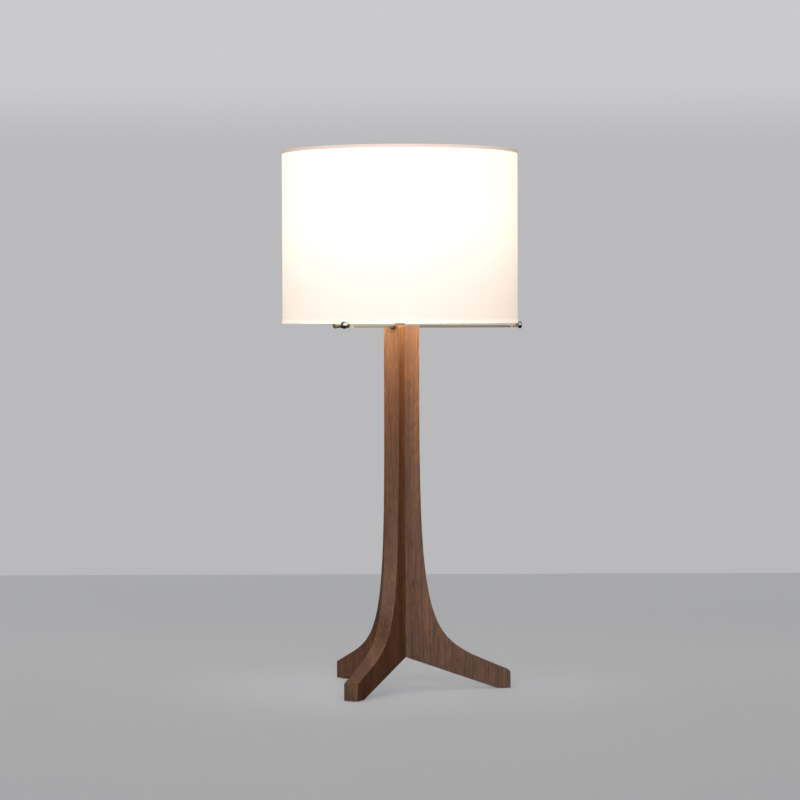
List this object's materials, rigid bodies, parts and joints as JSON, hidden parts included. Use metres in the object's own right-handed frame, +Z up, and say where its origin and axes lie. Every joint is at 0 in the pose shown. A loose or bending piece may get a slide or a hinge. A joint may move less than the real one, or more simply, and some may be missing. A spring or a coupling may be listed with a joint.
{
  "type": "table lamp",
  "caption": "Table lamp with a drum shade that lifts off three metal arms, on a column of mitred, flared wooden fins, with an LED engine and rotary dimmer inside the shade.",
  "frame": {"origin": "on the table top, on the column's axis, where the three fins meet", "axes": "+Z up along the column; +X along the first fin (fin_right); fin_front at -120 degrees and fin_rear at +120 degrees about +Z"},
  "size_m": [0.3108, 0.3049, 0.6957],
  "materials": {
    "walnut": "oiled walnut, open grain",
    "spline_wood": "sawn",
    "rubber": "matte",
    "satin_metal": "satin",
    "bright_steel": "polished",
    "ring_wire": "plain wire",
    "shade_cloth": "linen cloth on a white laminate",
    "hem_tape": "rolled hem",
    "white_enamel": "satin enamel",
    "aluminium": "extruded, clear anodised",
    "cap_steel": "turned",
    "green_board": "solder mask",
    "white_board": "white solder mask",
    "ferrite": "sintered core with a copper winding",
    "black_plastic": "fine matte",
    "terminal_ceramic": "glazed white",
    "thermal_pad": "soft pad",
    "led_phosphor": "phosphor over white",
    "opal_acrylic": "opal, sandblasted",
    "lead_insulation": "extruded insulation"
  },
  "bodies": {
    "base": {"fin_right": "walnut", "fin_front": "walnut", "fin_rear": "walnut", "mitre_splines": "spline_wood", "foot_pads": "rubber", "cord_bush": "rubber", "lead_grommet": "rubber", "spider": "satin_metal", "tip_blocks": "satin_metal", "spider_screws": "bright_steel", "stop_screws": "bright_steel", "stem": "bright_steel", "stem_nut": "bright_steel", "stem_sleeve": "bright_steel", "stem_washer": "bright_steel", "stem_locknut": "bright_steel", "housing_posts": "bright_steel", "housing_screws": "bright_steel", "plate_screws": "bright_steel", "dimmer_nut": "bright_steel", "core_screw": "bright_steel", "board_screws": "bright_steel", "terminal_screws": "bright_steel", "driver_housing": "white_enamel", "diffuser_cap": "white_enamel", "engine_plate": "aluminium", "heat_sink": "aluminium", "cap_screw": "cap_steel", "driver_board": "green_board", "led_boards": "white_board", "transformer": "ferrite", "capacitors": "black_plastic", "board_chips": "black_plastic", "dimmer_body": "black_plastic", "terminal_block": "terminal_ceramic", "thermal_pads": "thermal_pad", "leds": "led_phosphor", "diffuser": "opal_acrylic", "driver_leads": "lead_insulation", "led_leads": "lead_insulation", "board_jumpers": "lead_insulation"},
    "shade": {"shade_wall": "shade_cloth", "shade_bottom_ring": "ring_wire", "shade_top_ring": "ring_wire", "shade_bottom_hem": "hem_tape", "shade_top_hem": "hem_tape"},
    "dimmer": {"dimmer_knob": "black_plastic", "dimmer_shaft": "bright_steel"}
  },
  "joints": [
    {"name": "shade_lift", "type": "slide", "parent": "base", "child": "shade", "axis": [0, 0, 1], "range_m": [0, 0.2]},
    {"name": "dimmer_turn", "type": "hinge", "parent": "base", "child": "dimmer", "pos_m": [0.0135, -0.02338, 0.5049], "axis": [0, 0, -1], "range_deg": [0, 280]}
  ]
}
